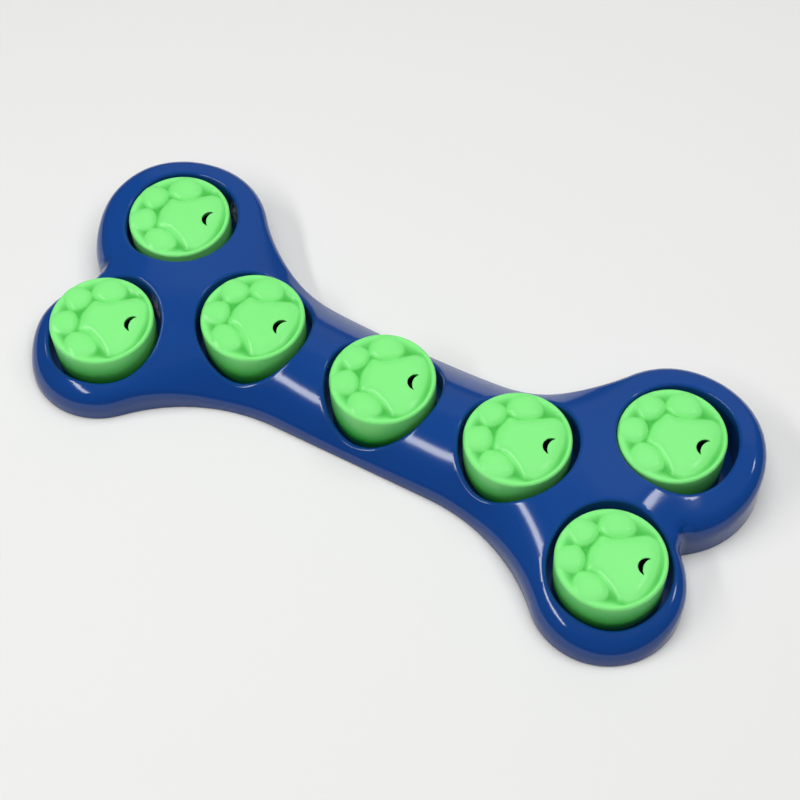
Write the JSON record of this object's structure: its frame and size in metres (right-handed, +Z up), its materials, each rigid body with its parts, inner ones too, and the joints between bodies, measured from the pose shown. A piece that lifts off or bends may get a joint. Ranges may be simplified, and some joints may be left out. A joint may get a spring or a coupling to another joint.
{
  "type": "dog puzzle feeder toy",
  "caption": "Bone-shaped treat puzzle board with round wells, each closed by a loose, hollow lift-out lid with a paw in relief, on rubber feet",
  "frame": {"origin": "on the floor, under the middle of the board", "axes": "+X along the bone, +Y across it, away from the front edge, +Z up out of the wells"},
  "size_m": [0.4092, 0.1724, 0.0353],
  "materials": {
    "tray_plastic": "glossy moulded blue plastic",
    "lid_plastic": "light green satin-gloss moulded plastic",
    "foot_rubber": "soft matt black rubber"
  },
  "bodies": {
    "board": {"tray": "tray_plastic", "foot_left_rear": "foot_rubber", "foot_left_front": "foot_rubber", "foot_right_rear": "foot_rubber", "foot_right_front": "foot_rubber", "foot_shaft_left_rear": "foot_rubber", "foot_shaft_left_front": "foot_rubber", "foot_shaft_right_rear": "foot_rubber", "foot_shaft_right_front": "foot_rubber"},
    "lid_center_body": {"lid_center": "lid_plastic"},
    "lid_left_inner_body": {"lid_left_inner": "lid_plastic"},
    "lid_right_inner_body": {"lid_right_inner": "lid_plastic"},
    "lid_left_rear_body": {"lid_left_rear": "lid_plastic"},
    "lid_left_front_body": {"lid_left_front": "lid_plastic"},
    "lid_right_rear_body": {"lid_right_rear": "lid_plastic"},
    "lid_right_front_body": {"lid_right_front": "lid_plastic"}
  },
  "joints": [
    {"name": "lift_center", "type": "slide", "parent": "board", "child": "lid_center_body", "axis": [0, 0, 1], "range_m": [0, 0.05]},
    {"name": "lift_left_inner", "type": "slide", "parent": "board", "child": "lid_left_inner_body", "axis": [0, 0, 1], "range_m": [0, 0.05]},
    {"name": "lift_right_inner", "type": "slide", "parent": "board", "child": "lid_right_inner_body", "axis": [0, 0, 1], "range_m": [0, 0.05]},
    {"name": "lift_left_rear", "type": "slide", "parent": "board", "child": "lid_left_rear_body", "axis": [0, 0, 1], "range_m": [0, 0.05]},
    {"name": "lift_left_front", "type": "slide", "parent": "board", "child": "lid_left_front_body", "axis": [0, 0, 1], "range_m": [0, 0.05]},
    {"name": "lift_right_rear", "type": "slide", "parent": "board", "child": "lid_right_rear_body", "axis": [0, 0, 1], "range_m": [0, 0.05]},
    {"name": "lift_right_front", "type": "slide", "parent": "board", "child": "lid_right_front_body", "axis": [0, 0, 1], "range_m": [0, 0.05]}
  ]
}
